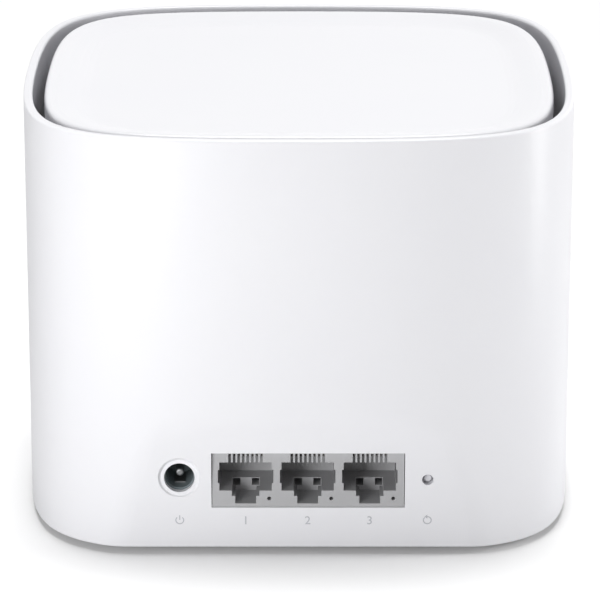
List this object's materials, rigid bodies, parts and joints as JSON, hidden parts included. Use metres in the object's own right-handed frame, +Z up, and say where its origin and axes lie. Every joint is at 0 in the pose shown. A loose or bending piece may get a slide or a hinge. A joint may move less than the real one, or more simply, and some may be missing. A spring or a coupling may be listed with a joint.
{
  "type": "mesh wifi node",
  "caption": "Free-standing mesh wifi node: a white rounded-square tube shell with a floating dished cover and a sunken panel of network, power and reset ports.",
  "frame": {"origin": "middle of the resting surface under the feet", "axes": "+Z up, the port side faces -Y, +X to the right when looking at the ports"},
  "size_m": [0.1268, 0.1268, 0.098],
  "materials": {
    "white_shell_plastic": "satin",
    "white_pin_plastic": "matt",
    "foot_rubber": "matt",
    "label_film": "satin",
    "screw_steel": "zinc plated",
    "frame_plastic": "matt",
    "board_laminate": "solder mask",
    "can_steel": "tinned",
    "chip_resin": "moulded",
    "crystal_can": "satin",
    "thermal_pad_silicone": "matt",
    "heatsink_aluminium": "clear anodised",
    "capacitor_aluminium": "satin",
    "jack_grey_plastic": "moulded",
    "contact_gold": "gold plated",
    "black_plastic": "moulded",
    "jack_nickel": "nickel plated",
    "switch_plastic": "moulded",
    "coax_jacket": "satin",
    "solder": "satin",
    "plug_gold": "gold plated",
    "clear_plastic": "diffusing",
    "led_white": "moulded"
  },
  "bodies": {
    "housing": {"outer_shell": "white_shell_plastic", "top_cover": "white_shell_plastic", "base_cover": "white_shell_plastic", "rubber_foot_1": "foot_rubber", "rubber_foot_2": "foot_rubber", "rubber_foot_3": "foot_rubber", "rubber_foot_4": "foot_rubber", "rating_label_blank": "label_film", "shell_screws": "screw_steel", "frame_screws": "screw_steel", "heatsink_screws": "screw_steel", "inner_frame": "frame_plastic", "main_board": "board_laminate", "antenna_port_side": "board_laminate", "antenna_right": "board_laminate", "antenna_front": "board_laminate", "antenna_left": "board_laminate", "main_shield_can": "can_steel", "radio_shield_can": "can_steel", "processor": "chip_resin", "memory_chip": "chip_resin", "radio_chip_a": "chip_resin", "radio_chip_b": "chip_resin", "switch_chip": "chip_resin", "flash_chip": "chip_resin", "lan_transformer_1": "chip_resin", "lan_transformer_2": "chip_resin", "lan_transformer_3": "chip_resin", "power_inductors": "chip_resin", "crystal": "crystal_can", "main_thermal_pad": "thermal_pad_silicone", "radio_thermal_pad": "thermal_pad_silicone", "heatsink": "heatsink_aluminium", "power_capacitors": "capacitor_aluminium", "network_jack_housing": "jack_grey_plastic", "network_contacts_1": "contact_gold", "network_contacts_2": "contact_gold", "network_contacts_3": "contact_gold", "power_jack_body": "black_plastic", "reset_switch_body": "black_plastic", "power_jack_pin": "jack_nickel", "power_jack_spring": "jack_nickel", "reset_switch_dome": "jack_nickel", "coax_lead_port_side": "coax_jacket", "coax_lead_right": "coax_jacket", "coax_lead_front": "coax_jacket", "coax_lead_left": "coax_jacket", "antenna_feed_joints": "solder", "coax_plugs": "plug_gold", "status_lens": "clear_plastic", "light_pipe": "clear_plastic", "status_led": "led_white"},
    "reset_button": {"reset_pin": "white_pin_plastic", "reset_switch_stem": "switch_plastic"}
  },
  "joints": [
    {"name": "reset_press", "type": "slide", "parent": "housing", "child": "reset_button", "axis": [0, 1, 0], "range_m": [0, 0.0003], "stiffness_N_per_m": 100, "deforming": ["reset_switch_dome"]}
  ]
}
